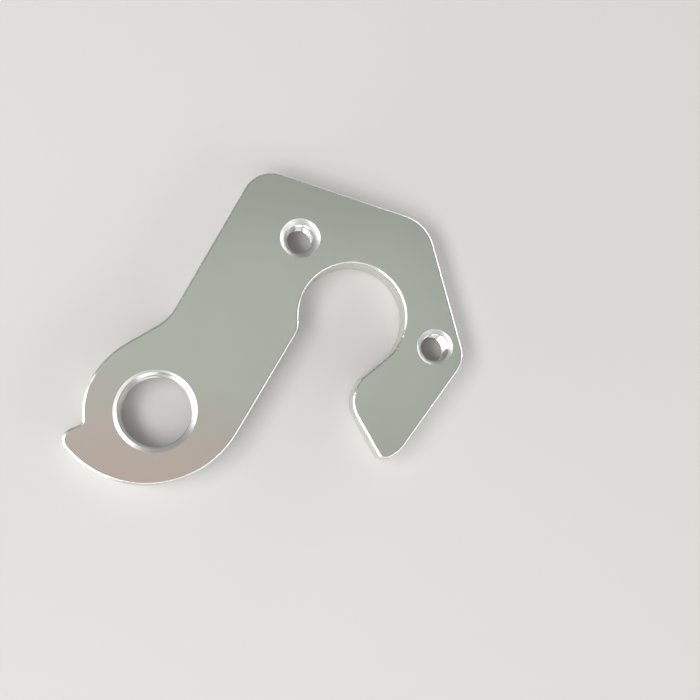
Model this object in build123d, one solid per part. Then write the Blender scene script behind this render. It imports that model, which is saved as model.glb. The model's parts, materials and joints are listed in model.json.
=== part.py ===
from build123d import *
import math
import os

# Bicycle derailleur hanger, milled in one piece from aluminium plate.
# Millimetres and degrees. The origin is on the derailleur's thread axis, midway through the plate.
# +X is forwards on the bicycle, +Y up along the axle slot, and +Z out through the face that carries the derailleur.
# The back face, towards -Z, seats on the frame.

# Plate, with its edges rounded on the derailleur's side and chamfered on the frame's side
thickness = 4.0
edge_break = 0.4
back_chamfer = 0.3

# Round boss for the derailleur, with a bore for a 10 x 1 thread
boss_radius = 9.1
derailleur_drill = 9.0
derailleur_mouth = 10.55

# Two holes for 4 x 0.7 frame screws, placed from the axle's centre
screw_drill = 3.4
rear_screw_back = 11.05
rear_screw_up = 5.4
rear_screw_mouth = 5.3
front_screw_forward = 11.45
front_screw_up = 2.1
front_screw_mouth = 4.8
screw_back_mouth = 4.2

# Axle's centre from the derailleur's axis, its round seat, and the slot that leads up to it
axle_forward = 15.4
axle_up = 23.45
seat_radius = 7.0
slot_width = 10.15
lead_in_drop = 6.4

# Straight edges of the body: distance from the axle's centre, and the angle that each edge faces
rear_edge_distance = 20.5
rear_edge_facing = 181.6
top_edge_distance = 15.25
top_edge_facing = 103.0
front_edge_distance = 13.15
front_edge_facing = 45.0
tail_edge_distance = 15.53
tail_edge_facing = -6.2
underside_distance = 6.1
underside_facing = 240.0

# Heel: a straight edge that cuts off the corner between the tail's edge and the underside, this far in from it
heel_distance = 1.31
heel_facing = -33.0

# Places round the boss where a flatter shoulder and the stop leave it, and how far the stop leans out
shoulder_angle = 178.0
shoulder_radius = 12.2
neck_angle = 151.5
stop_angle = 220.0
stop_lean = 12.0

# Wide arc from the slot's rear wall round to the stop, and its centre's height
belly_radius = 13.1
belly_up = 2.75

# Corner radii
neck_radius = 6.5
rear_corner_radius = 4.2
top_corner_radius = 5.4
front_corner_radius = 3.9
heel_radius = 4.0
tip_radius = 1.0
front_lip_radius = 4.0
lead_in_radius = 1.2
rear_lip_radius = 4.0
nose_radius = 1.6
stop_root_radius = 0.6

axle = Vector(axle_forward, axle_up)
derailleur = Vector(0, 0)


def polar(center, radius, angle):
    """Point at a radius and angle from a centre."""
    return center + Vector(radius * math.cos(math.radians(angle)), radius * math.sin(math.radians(angle)))


def edge_line(center, distance, facing):
    """Straight edge that faces a given way at a given distance: one of its points, and its direction."""
    return polar(center, distance, facing), polar(Vector(0, 0), 1, facing + 90)


def meet(first, second):
    """Point where two straight edges cross."""
    (start, along), (other, across) = first, second
    gap = other - start
    reach = (gap.X * across.Y - gap.Y * across.X) / (along.X * across.Y - along.Y * across.X)
    return start + along * reach


def angle_from(center, point):
    return math.degrees(math.atan2(point.Y - center.Y, point.X - center.X))


def arc_between(center, start, end):
    """Anticlockwise arc about a centre from one point to another."""
    first = angle_from(center, start)
    sweep = (angle_from(center, end) - first) % 360
    return CenterArc(center, (start - center).length, first, sweep)


def tangent_from(point, center, radius):
    """Where the line from an outside point first touches a circle that it passes on the right."""
    away = (center - point).length
    turn = math.degrees(math.asin(radius / away))
    return polar(point, math.sqrt(away ** 2 - radius ** 2), angle_from(point, center) - turn)


def reach_circle(line, center, radius):
    """Point where a line that starts inside a circle leaves it."""
    start, along = line
    inward = (start - center).dot(along)
    beyond = radius ** 2 - (start - center).dot(start - center)
    return start + along * (math.sqrt(inward ** 2 + beyond) - inward)


def plate_outline():
    """Face of the plate: boss and stop at the lower rear, arm, body, tail, and the open axle seat."""
    rear_edge = edge_line(axle, rear_edge_distance, rear_edge_facing)
    top_edge = edge_line(axle, top_edge_distance, top_edge_facing)
    front_edge = edge_line(axle, front_edge_distance, front_edge_facing)
    tail_edge = edge_line(axle, tail_edge_distance, tail_edge_facing)
    underside = edge_line(axle, underside_distance, underside_facing)
    heel_edge = edge_line(meet(tail_edge, underside), -heel_distance, heel_facing)
    front_wall = edge_line(axle, slot_width / 2, 0)

    # The shoulder touches the boss, and the straight neck touches the shoulder
    shoulder_start = polar(derailleur, boss_radius, shoulder_angle)
    shoulder_center = polar(derailleur, boss_radius - shoulder_radius, shoulder_angle)
    neck_line = edge_line(shoulder_center, shoulder_radius, neck_angle)
    neck_start = polar(shoulder_center, shoulder_radius, neck_angle)

    neck = meet(neck_line, rear_edge)
    rear_corner = meet(rear_edge, top_edge)
    top_corner = meet(top_edge, front_edge)
    front_corner = meet(front_edge, tail_edge)
    heel = meet(tail_edge, heel_edge)
    tip = meet(heel_edge, underside)
    front_lip = meet(underside, front_wall)

    # The slot's front wall turns into a straight run that touches the round seat
    lead_in = axle + Vector(slot_width / 2, -lead_in_drop)
    seat_start = tangent_from(lead_in, axle, seat_radius)
    rear_lip = axle + Vector(-slot_width / 2, -math.sqrt(seat_radius ** 2 - (slot_width / 2) ** 2))

    # The slot's rear wall runs on down the arm, into a wide arc under the boss
    arm_end = Vector(rear_lip.X, belly_up)
    belly_center = arm_end - Vector(belly_radius, 0)

    # That arc ends in the nose of the stop for the derailleur's adjusting screw, which limits the nose's rounding
    stop_root = polar(derailleur, boss_radius, stop_angle)
    stop_along = polar(Vector(0, 0), 1, stop_angle + stop_lean)
    nose = reach_circle((stop_root, stop_along), belly_center, belly_radius)
    stop_length = (nose - stop_root).length

    edges = [
        arc_between(shoulder_center, neck_start, shoulder_start),
        arc_between(derailleur, shoulder_start, stop_root),
        Line(stop_root, nose),
        arc_between(belly_center, nose, arm_end),
        Line(arm_end, rear_lip),
        arc_between(axle, seat_start, rear_lip),
        Line(seat_start, lead_in),
        Polyline(lead_in, front_lip, tip, heel, front_corner, top_corner, rear_corner, neck, neck_start),
    ]
    corners = [
        (neck, neck_radius),
        (rear_corner, rear_corner_radius),
        (top_corner, top_corner_radius),
        (front_corner, front_corner_radius),
        (heel, heel_radius),
        (tip, tip_radius),
        (front_lip, front_lip_radius),
        (lead_in, lead_in_radius),
        (rear_lip, rear_lip_radius),
        (nose, min(nose_radius, stop_length / 2)),
        (stop_root, stop_root_radius),
    ]
    outline = make_face(edges)
    for corner, radius in corners:
        outline = fillet(outline.vertices().sort_by_distance(corner)[0], radius)
    return outline


def tapping_hole(drill, front_mouth, back_mouth):
    """Cutter for a drilled hole through the plate, with a 90 degree chamfer at each face."""
    front_depth = (front_mouth - drill) / 2
    back_depth = (back_mouth - drill) / 2
    bore = Cylinder(drill / 2, thickness)
    front_chamfer = Cone(drill / 2, front_mouth / 2, front_depth)
    back_chamfer = Cone(back_mouth / 2, drill / 2, back_depth)
    front_place = Pos(0, 0, (thickness - front_depth) / 2)
    back_place = Pos(0, 0, (back_depth - thickness) / 2)
    return bore + front_place * front_chamfer + back_place * back_chamfer


def hanger_plate():
    """The whole hanger: profiled plate with broken edges, the derailleur's bore and two screw holes."""
    plate = extrude(plate_outline(), thickness / 2, both=True)
    plate = fillet(plate.faces().sort_by(Axis.Z)[-1].edges(), edge_break)
    plate = chamfer(plate.faces().sort_by(Axis.Z)[0].edges(), back_chamfer)
    rear_screw = axle + Vector(-rear_screw_back, rear_screw_up)
    front_screw = axle + Vector(front_screw_forward, front_screw_up)
    plate -= tapping_hole(derailleur_drill, derailleur_mouth, derailleur_mouth)
    plate -= Pos(rear_screw.X, rear_screw.Y) * tapping_hole(screw_drill, rear_screw_mouth, screw_back_mouth)
    plate -= Pos(front_screw.X, front_screw.Y) * tapping_hole(screw_drill, front_screw_mouth, screw_back_mouth)
    return plate


os.makedirs("parts", exist_ok=True)
export_step(hanger_plate(), "parts/hanger_plate.step")
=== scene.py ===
import json
import math

import bmesh
import bpy
from mathutils import Euler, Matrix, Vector


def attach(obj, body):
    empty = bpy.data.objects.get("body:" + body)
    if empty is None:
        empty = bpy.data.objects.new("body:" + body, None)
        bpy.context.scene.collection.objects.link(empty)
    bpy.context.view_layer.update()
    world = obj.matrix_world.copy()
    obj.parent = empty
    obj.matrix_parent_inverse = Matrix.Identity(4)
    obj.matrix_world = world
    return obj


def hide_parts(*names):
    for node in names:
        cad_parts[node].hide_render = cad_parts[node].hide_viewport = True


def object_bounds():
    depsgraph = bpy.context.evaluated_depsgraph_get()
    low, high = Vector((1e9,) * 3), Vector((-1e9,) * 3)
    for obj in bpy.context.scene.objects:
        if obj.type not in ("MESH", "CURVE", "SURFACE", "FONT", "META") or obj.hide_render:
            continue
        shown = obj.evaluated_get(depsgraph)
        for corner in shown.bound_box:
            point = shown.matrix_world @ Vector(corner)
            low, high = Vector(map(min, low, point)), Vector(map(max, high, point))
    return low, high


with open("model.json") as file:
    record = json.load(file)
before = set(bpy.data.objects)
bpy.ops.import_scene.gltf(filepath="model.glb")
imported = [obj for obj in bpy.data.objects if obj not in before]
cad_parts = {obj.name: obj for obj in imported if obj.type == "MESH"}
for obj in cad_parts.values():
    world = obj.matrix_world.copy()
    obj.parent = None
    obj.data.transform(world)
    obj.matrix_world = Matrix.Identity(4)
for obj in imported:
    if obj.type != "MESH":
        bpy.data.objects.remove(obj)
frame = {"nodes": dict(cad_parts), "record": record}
cad_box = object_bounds()

MM = 0.001

# Tapped holes: each thread's pitch and major radius in millimetres, and the steps that draw one turn.
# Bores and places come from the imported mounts.
THREADS = {
    "derailleur_thread": {"pitch": 1.0, "major_radius": 5.0, "steps": 72},
    "rear_screw_thread": {"pitch": 0.7, "major_radius": 2.0, "steps": 44},
    "front_screw_thread": {"pitch": 0.7, "major_radius": 2.0, "steps": 44},
}
FLANK_ANGLE = 60  # between the two flanks of a thread's groove, in degrees
ROOT_SHARE = 0.125  # width of the flat at a groove's root, as a share of the pitch
CUTTER_OVERLAP = 0.1  # a groove's cutter starts this far inside its bore, in millimetres
MOUTH_MARGIN = 0.9  # a hole's chamfer ends within this distance of its bore, in millimetres
EDGE_ROUNDING = 0.4  # radius of the plate's rounded front edge, in millimetres

# Points that lie this near to each other are one point, in metres
PLATE_MERGE = 1e-6
CUTTER_MERGE = 1e-7

# Finishes of the plate, in the order of its material slots
FLAT, WALL, EDGE, CHAMFER, THREAD = range(5)

# The picture is turned this many degrees anticlockwise against the hanger's own axes
PICTURE_TURN = 30.04

# Bearings are read in the picture, in degrees, anticlockwise from the right.
# The room is dimmest towards this one.
DIM_BEARING = 130

# Room's brightness by the sine of the height above the horizon
ROOM_STEPS = [
    (0.0, 0.95), (0.15, 0.80), (0.4, 0.46), (0.6, 0.36), (0.78, 0.34), (0.9, 0.39), (1.0, 0.415),
]

# Each light's bearing and elevation in degrees, distance, width and height in metres, watts and colour.
# The long strips lie low, so that from most sides the flat face mirrors none of them.
LIGHTS = {
    "left_low_strip": (200, 4, 0.5, 0.85, 0.08, 2.0, "#FFFFFF"),
    "left_high_panel": (200, 53, 0.6, 0.6, 0.21, 2.0, "#FFFFFF"),
    "right_strip": (30, 4, 0.6, 0.8, 0.1, 2.2, "#FFFFFF"),
    "front_softbox": (275, 44, 0.6, 0.3, 0.3, 0.3, "#FFFFFF"),
    "tail_strip": (322, 22, 0.6, 0.56, 0.14, 0.66, "#FFFFFF"),
    "ceiling_panel": (85, 81.5, 0.5, 0.28, 0.13, 0.016, "#FFFFFF"),
    "warm_reflector": (252, 81.7, 0.5, 0.26, 0.145, 0.026, "#FF7C88"),
}


def linear(colour):
    """Linear RGBA of an sRGB hex colour."""
    channels = [int(colour[i:i + 2], 16) / 255 for i in (1, 3, 5)]
    return [c / 12.92 if c <= 0.04045 else ((c + 0.055) / 1.055) ** 2.4 for c in channels] + [1.0]


def add_node(tree, kind, inputs=None, **settings):
    """A node with its settings. Each input is a value, or another node's output to link."""
    made = tree.nodes.new(kind)
    for name, value in settings.items():
        setattr(made, name, value)
    for key, value in (inputs or {}).items():
        if isinstance(value, bpy.types.NodeSocket):
            tree.links.new(value, made.inputs[key])
        else:
            made.inputs[key].default_value = value
    return made


def new_material(name):
    """An empty node material with its output and a Principled shader, linked."""
    material = bpy.data.materials.new(name)
    material.use_nodes = True
    tree = material.node_tree
    tree.nodes.clear()
    shader = add_node(tree, "ShaderNodeBsdfPrincipled")
    add_node(tree, "ShaderNodeOutputMaterial", {"Surface": shader.outputs["BSDF"]})
    return material, tree, shader


def finish_metal(tree, shader, tone, relief, colours, roughness, bump):
    """Bare metal: a tone pattern sets its colour, and a relief pattern its roughness and bump.

    The bump is given as its strength, and its depth in millimetres.
    """
    shade = add_node(tree, "ShaderNodeMix", {
        0: tone, 6: linear(colours[0]), 7: linear(colours[1]),
    }, data_type="RGBA")
    matt = add_node(tree, "ShaderNodeMapRange", {
        "Value": relief, "To Min": roughness[0], "To Max": roughness[1],
    })
    raised = add_node(tree, "ShaderNodeBump", {
        "Height": relief, "Strength": bump[0], "Distance": bump[1] * MM,
    })
    tree.links.new(shade.outputs[2], shader.inputs["Base Color"])
    tree.links.new(matt.outputs["Result"], shader.inputs["Roughness"])
    tree.links.new(raised.outputs["Normal"], shader.inputs["Normal"])
    shader.inputs["Metallic"].default_value = 1.0


def satin_anodised_face():
    """Flat faces: aluminium plate, blasted and clear anodised."""
    # To the eye, an even satin silver with a trace of green, soft reflections and a very fine grain
    material, tree, shader = new_material("satin_anodised_aluminium")
    place = add_node(tree, "ShaderNodeTexCoord")
    # Blasted grain is about 0.05 mm, too fine to show, so it is drawn at 0.15 mm
    grain = add_node(tree, "ShaderNodeTexNoise", {
        "Vector": place.outputs["Object"], "Scale": 1 / (0.15 * MM), "Detail": 2.0, "Roughness": 0.6,
    })
    # The anodising's tone drifts over about 9 mm
    cloud = add_node(tree, "ShaderNodeTexNoise", {
        "Vector": place.outputs["Object"], "Scale": 1 / (9 * MM), "Detail": 3.0, "Roughness": 0.5,
    })
    finish_metal(
        tree, shader, tone=cloud.outputs["Fac"], relief=grain.outputs["Fac"],
        colours=("#DAE2D5", "#E2EADD"), roughness=(0.13, 0.22), bump=(0.3, 0.01),
    )
    return material


def milled_wall():
    """The plate's profile: aluminium, milled all round and anodised."""
    # To the eye, a duller silver than the face, with fine upright cutter marks
    material, tree, shader = new_material("milled_aluminium_wall")
    place = add_node(tree, "ShaderNodeTexCoord")
    # Cutter marks stand upright on the wall, about 0.2 mm apart
    upright = add_node(tree, "ShaderNodeMapping", {
        "Vector": place.outputs["Object"], "Scale": (1.0, 1.0, 0.05),
    })
    marks = add_node(tree, "ShaderNodeTexNoise", {
        "Vector": upright.outputs["Vector"], "Scale": 1 / (0.2 * MM), "Detail": 2.0, "Roughness": 0.5,
    })
    finish_metal(
        tree, shader, tone=marks.outputs["Fac"], relief=marks.outputs["Fac"],
        colours=("#D6D8D2", "#E5E7E1"), roughness=(0.24, 0.36), bump=(0.2, 0.01),
    )
    return material


def bright_edge():
    """Broken edges: aluminium cut with a rounding tool after the blasting."""
    # To the eye, a bright line round the plate, made a little uneven by small nicks
    material, tree, shader = new_material("bright_cut_aluminium")
    place = add_node(tree, "ShaderNodeTexCoord")
    # Nicks are about 0.4 mm long
    nicks = add_node(tree, "ShaderNodeTexNoise", {
        "Vector": place.outputs["Object"], "Scale": 1 / (0.4 * MM), "Detail": 3.0, "Roughness": 0.6,
    })
    finish_metal(
        tree, shader, tone=nicks.outputs["Fac"], relief=nicks.outputs["Fac"],
        colours=("#DDDFDA", "#EBECE8"), roughness=(0.2, 0.32), bump=(0.2, 0.05),
    )
    return material


def cut_hole(name, roughness):
    """Holes: aluminium cut after the blasting, by a countersink or a tap."""
    # To the eye, the brightest metal of the plate, with fine turning lines that run round each hole
    material, tree, shader = new_material(name)
    place = add_node(tree, "ShaderNodeTexCoord")
    # The lines change mostly along the plate's thickness. They are about 0.05 mm apart, too fine to show,
    # so they are drawn 0.2 mm apart
    level = add_node(tree, "ShaderNodeMapping", {
        "Vector": place.outputs["Object"], "Scale": (0.06, 0.06, 1.0),
    })
    lines = add_node(tree, "ShaderNodeTexNoise", {
        "Vector": level.outputs["Vector"], "Scale": 1 / (0.2 * MM), "Detail": 2.0, "Roughness": 0.5,
    })
    finish_metal(
        tree, shader, tone=lines.outputs["Fac"], relief=lines.outputs["Fac"],
        colours=("#DADBD7", "#EFEFEC"), roughness=roughness, bump=(0.5, 0.04),
    )
    return material


def thread_groove_tree():
    """Groove of a tapped thread as a closed helical bar, widest at the bore."""
    tree = bpy.data.node_groups.new("thread_groove", "GeometryNodeTree")
    sockets = {}
    for name, kind in (
        ("Inner Radius", "NodeSocketFloat"),
        ("Major Radius", "NodeSocketFloat"),
        ("Pitch", "NodeSocketFloat"),
        ("Length", "NodeSocketFloat"),
        ("Steps", "NodeSocketInt"),
        ("Place", "NodeSocketVector"),
        ("Material", "NodeSocketMaterial"),
    ):
        sockets[name] = tree.interface.new_socket(name, in_out="INPUT", socket_type=kind).identifier
    tree.interface.new_socket("Groove", in_out="OUTPUT", socket_type="NodeSocketGeometry")
    given = add_node(tree, "NodeGroupInput").outputs

    # Section of the groove: its depth and middle, the flat at its root, and its width at the inner radius
    depth = add_node(tree, "ShaderNodeMath", {
        0: given["Major Radius"], 1: given["Inner Radius"],
    }, operation="SUBTRACT")
    both_radii = add_node(tree, "ShaderNodeMath", {
        0: given["Major Radius"], 1: given["Inner Radius"],
    }, operation="ADD")
    middle = add_node(tree, "ShaderNodeMath", {0: both_radii.outputs[0], 1: 0.5}, operation="MULTIPLY")
    root = add_node(tree, "ShaderNodeMath", {0: given["Pitch"], 1: ROOT_SHARE}, operation="MULTIPLY")
    flanks = add_node(tree, "ShaderNodeMath", {
        0: depth.outputs[0], 1: 2 * math.tan(math.radians(FLANK_ANGLE / 2)),
    }, operation="MULTIPLY")
    mouth = add_node(tree, "ShaderNodeMath", {0: root.outputs[0], 1: flanks.outputs[0]}, operation="ADD")
    section = add_node(tree, "GeometryNodeCurvePrimitiveQuadrilateral", {
        "Bottom Width": mouth.outputs[0], "Top Width": root.outputs[0], "Height": depth.outputs[0],
        "Offset": 0.0,
    }, mode="TRAPEZOID")
    outward = add_node(tree, "GeometryNodeTransform", {
        "Geometry": section.outputs["Curve"], "Rotation": (0.0, 0.0, math.radians(90)),
    })

    # The section follows a helix through the plate
    turns = add_node(tree, "ShaderNodeMath", {0: given["Length"], 1: given["Pitch"]}, operation="DIVIDE")
    helix = add_node(tree, "GeometryNodeCurveSpiral", {
        "Resolution": given["Steps"], "Rotations": turns.outputs[0], "Height": given["Length"],
        "Start Radius": middle.outputs[0], "End Radius": middle.outputs[0],
    })
    upright = add_node(tree, "GeometryNodeSetCurveNormal", {"Curve": helix.outputs["Curve"]}, mode="Z_UP")
    bar = add_node(tree, "GeometryNodeCurveToMesh", {
        "Curve": upright.outputs["Curve"], "Profile Curve": outward.outputs["Geometry"], "Fill Caps": True,
    })

    # Half of it lies below the hole's place and half above
    half_down = add_node(tree, "ShaderNodeMath", {0: given["Length"], 1: -0.5}, operation="MULTIPLY")
    drop = add_node(tree, "ShaderNodeCombineXYZ", {"Z": half_down.outputs[0]})
    start = add_node(tree, "ShaderNodeVectorMath", {
        0: given["Place"], 1: drop.outputs[0],
    }, operation="ADD")
    placed = add_node(tree, "GeometryNodeTransform", {
        "Geometry": bar.outputs["Mesh"], "Translation": start.outputs[0],
    })
    real = add_node(tree, "GeometryNodeRealizeInstances", {"Geometry": placed.outputs["Geometry"]})
    coated = add_node(tree, "GeometryNodeSetMaterial", {
        "Geometry": real.outputs["Geometry"], "Material": given["Material"],
    })
    add_node(tree, "NodeGroupOutput", {0: coated.outputs["Geometry"]})
    return tree, sockets


def plain_mesh(piece, name):
    """The piece's evaluated shape as a mesh of its own."""
    depsgraph = bpy.context.evaluated_depsgraph_get()
    mesh = bpy.data.meshes.new_from_object(piece.evaluated_get(depsgraph), depsgraph=depsgraph)
    mesh.name = name
    return mesh


def new_piece(name, data):
    """An object in the scene for a mesh, light or camera."""
    piece = bpy.data.objects.new(name, data)
    bpy.context.scene.collection.objects.link(piece)
    return piece


def merge_points(mesh, distance, turn_outwards):
    """Join the mesh's points that lie within a distance, and turn its faces outwards where asked."""
    work = bmesh.new()
    work.from_mesh(mesh)
    bmesh.ops.remove_doubles(work, verts=work.verts, dist=distance)
    if turn_outwards:
        bmesh.ops.recalc_face_normals(work, faces=work.faces)
    work.to_mesh(mesh)
    work.free()


def thread_groove(tree, sockets, mount, sizes, material):
    """One thread's groove, as a cutter that runs past both faces of the plate."""
    pitch = sizes["pitch"] * MM
    values = {
        "Inner Radius": mount["dims"]["r_mm"] * MM - CUTTER_OVERLAP * MM,
        "Major Radius": sizes["major_radius"] * MM,
        "Pitch": pitch,
        "Length": cad_box[1].z - cad_box[0].z + 2 * pitch,
        "Steps": sizes["steps"],
        "Place": Vector((mount["pos_m"][0], mount["pos_m"][1], 0.0)),
        "Material": material,
    }
    cutter = new_piece(mount["name"] + "_groove", bpy.data.meshes.new("groove"))
    made = cutter.modifiers.new("groove", "NODES")
    made.node_group = tree
    for name, value in values.items():
        made[sockets[name]] = value
    mesh = plain_mesh(cutter, cutter.name)
    cutter.modifiers.remove(made)
    cutter.data = mesh
    merge_points(mesh, CUTTER_MERGE, turn_outwards=True)
    return cutter


def hanger_plate():
    """The whole hanger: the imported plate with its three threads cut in."""
    mesh = frame["nodes"]["hanger_plate"].data.copy()
    mesh.name = "threaded_hanger"
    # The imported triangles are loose, and already face outwards
    merge_points(mesh, PLATE_MERGE, turn_outwards=False)
    plate = new_piece("threaded_hanger", mesh)
    plate.data.materials.clear()
    finishes = {
        FLAT: satin_anodised_face(),
        WALL: milled_wall(),
        EDGE: bright_edge(),
        CHAMFER: cut_hole("countersunk_aluminium", roughness=(0.34, 0.5)),
        THREAD: cut_hole("tapped_aluminium", roughness=(0.14, 0.26)),
    }
    for finish in finishes.values():
        plate.data.materials.append(finish)

    tree, sockets = thread_groove_tree()
    mounts = {m["name"]: m for m in frame["record"]["mounts"]}
    for name, sizes in THREADS.items():
        cutter = thread_groove(tree, sockets, mounts[name], sizes, finishes[THREAD])
        cut = plate.modifiers.new("tapping", "BOOLEAN")
        cut.operation = "DIFFERENCE"
        cut.solver = "EXACT"
        cut.object = cutter
        tapped = plain_mesh(plate, "threaded_hanger")
        plate.modifiers.remove(cut)
        plate.data = tapped
        bpy.data.objects.remove(cutter)

    give_finishes(plate.data, [mounts[name] for name in THREADS])
    shade_true(plate.data)
    return plate


def give_finishes(mesh, holes):
    """Each face's finish, by where it lies and how far up or down it faces."""
    low, high = cad_box[0].z, cad_box[1].z
    # Flat faces lie at the plate's top or bottom, to within a micrometre. A chamfer faces 45 degrees up
    # or down, and a wall is upright
    level_within = 1e-6
    chamfer_rise, chamfer_spread = math.sqrt(0.5), 0.05
    wall_rise = 0.02
    for face in mesh.polygons:
        face.use_smooth = True
        in_hole = any(
            math.hypot(face.center.x - h["pos_m"][0], face.center.y - h["pos_m"][1])
            < (h["dims"]["r_mm"] + MOUTH_MARGIN) * MM for h in holes
        )
        rise = abs(face.normal.z)
        if min(face.center.z - low, high - face.center.z) < level_within:
            face.material_index = FLAT
        elif in_hole:
            face.material_index = CHAMFER if abs(rise - chamfer_rise) < chamfer_spread else THREAD
        elif rise < wall_rise:
            face.material_index = WALL
        else:
            face.material_index = EDGE


def corner_angle(mesh, face, vertex):
    """Angle of a face at one of its corners."""
    ring = list(face.vertices)
    place = ring.index(vertex)
    here = mesh.vertices[vertex].co
    before = mesh.vertices[ring[place - 1]].co - here
    after = mesh.vertices[ring[(place + 1) % len(ring)]].co - here
    return before.angle(after, 0.0)


def shade_true(mesh):
    """Corner normals of the true forms: flat faces, upright walls, rounded edges, chamfers and threads."""
    around = [[] for _ in mesh.vertices]
    for face in mesh.polygons:
        for vertex in face.vertices:
            around[vertex].append(face)

    def mean(vertex, group):
        """Mean of the faces' normals, weighted by their angles at a vertex."""
        return sum((f.normal * corner_angle(mesh, f, vertex) for f in group), Vector()).normalized()

    def outward(vertex):
        """Level direction in which the plate's profile faces at a vertex."""
        facing = Vector()
        for face in around[vertex]:
            if face.material_index in (WALL, EDGE):
                level = Vector((face.normal.x, face.normal.y, 0.0)).normalized()
                facing += level * corner_angle(mesh, face, vertex)
        return facing.normalized()

    # In a hole, faces are shaded as one where they turn by less than 24 degrees and rise alike
    near = math.cos(math.radians(24))
    alike = 0.08
    rounding = EDGE_ROUNDING * MM
    normals = []
    for face in mesh.polygons:
        for vertex in face.vertices:
            if face.material_index == FLAT:
                normal = face.normal.copy()
            elif face.material_index == WALL:
                normal = outward(vertex)
            elif face.material_index == EDGE:
                rise = face.normal.z
                if rise > 0:
                    fall = cad_box[1].z - mesh.vertices[vertex].co.z
                    rise = min(1.0, max(0.0, 1 - fall / rounding))
                normal = outward(vertex) * math.sqrt(1 - rise ** 2) + Vector((0.0, 0.0, rise))
            else:
                normal = mean(vertex, [
                    f for f in around[vertex]
                    if f.material_index in (CHAMFER, THREAD) and f.normal.dot(face.normal) > near
                    and abs(f.normal.z - face.normal.z) < alike
                ])
            normals.append(normal)
    mesh.normals_split_custom_set(normals)


def pale_floor():
    """Plain pale round floor under the plate."""
    radius, corners = 0.5, 128
    turns = [2 * math.pi * i / corners for i in range(corners)]
    rim = [(radius * math.cos(t), radius * math.sin(t), cad_box[0].z) for t in turns]
    mesh = bpy.data.meshes.new("pale_floor")
    mesh.from_pydata(rim, [], [range(corners)])
    floor = new_piece("pale_floor", mesh)
    material, _, shader = new_material("pale_paper")
    shader.inputs["Base Color"].default_value = linear("#E2E1DE")
    shader.inputs["Roughness"].default_value = 0.9
    mesh.materials.append(material)


def soft_light(name, bearing, elevation, distance, width, height, watts, colour):
    """A soft rectangular light aimed at the plate."""
    centre = (cad_box[0] + cad_box[1]) / 2
    around, above = math.radians(bearing + PICTURE_TURN), math.radians(elevation)
    away = Vector((math.cos(around) * math.cos(above), math.sin(around) * math.cos(above), math.sin(above)))
    lamp = bpy.data.lights.new(name, "AREA")
    lamp.shape = "RECTANGLE"
    lamp.size = width
    lamp.size_y = height
    lamp.energy = watts
    lamp.color = linear(colour)[:3]
    box = new_piece(name, lamp)
    box.location = centre + away * distance
    box.rotation_euler = (-away).to_track_quat("-Z", "Y").to_euler()


def studio():
    """Soft studio light: a pale room, darker overhead and towards one side, with lights round the plate."""
    world = bpy.data.worlds.new("studio")
    bpy.context.scene.world = world
    world.use_nodes = True
    tree = world.node_tree
    tree.nodes.clear()
    way = add_node(tree, "ShaderNodeTexCoord")
    height = add_node(tree, "ShaderNodeSeparateXYZ", {"Vector": way.outputs["Generated"]})
    room = add_node(tree, "ShaderNodeValToRGB", {"Fac": height.outputs["Z"]})
    bands = room.color_ramp.elements
    for place, _ in ROOM_STEPS[1:-1]:
        bands.new(place)
    for band, (place, grey) in zip(bands, ROOM_STEPS):
        band.position = place
        band.color = (grey, grey, grey, 1.0)
    # Towards its dim side the room fades to 0.6 of that brightness
    dim_side = math.radians(DIM_BEARING + PICTURE_TURN)
    side = add_node(tree, "ShaderNodeVectorMath", {
        0: way.outputs["Generated"], 1: (math.cos(dim_side), math.sin(dim_side), 0.0),
    }, operation="DOT_PRODUCT")
    dimmed = add_node(tree, "ShaderNodeMapRange", {
        "Value": side.outputs["Value"], "From Min": 0.3, "From Max": 0.9, "To Min": 1.0, "To Max": 0.6,
    })
    sky = add_node(tree, "ShaderNodeBackground", {
        "Color": room.outputs["Color"], "Strength": dimmed.outputs["Result"],
    })
    add_node(tree, "ShaderNodeOutputWorld", {"Surface": sky.outputs["Background"]})
    for name, settings in LIGHTS.items():
        soft_light(name, *settings)
    bpy.context.scene.view_settings.view_transform = "Standard"


def picture_camera():
    """Camera where the photograph was taken from: about 13 cm above the plate, ten degrees off square."""
    lens = bpy.data.cameras.new("picture_camera")
    lens.lens = 51.69
    lens.sensor_width = 36.0
    lens.clip_start = 0.005
    lens.clip_end = 10.0
    camera = new_piece("picture_camera", lens)
    camera.location = Vector((10.937, -2.141, 130.92)) * MM
    camera.rotation_euler = Euler([math.radians(a) for a in (6.780, -7.235, PICTURE_TURN)])
    bpy.context.scene.camera = camera


hanger = hanger_plate()
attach(hanger, "root")
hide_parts("hanger_plate")
pale_floor()
studio()
picture_camera()
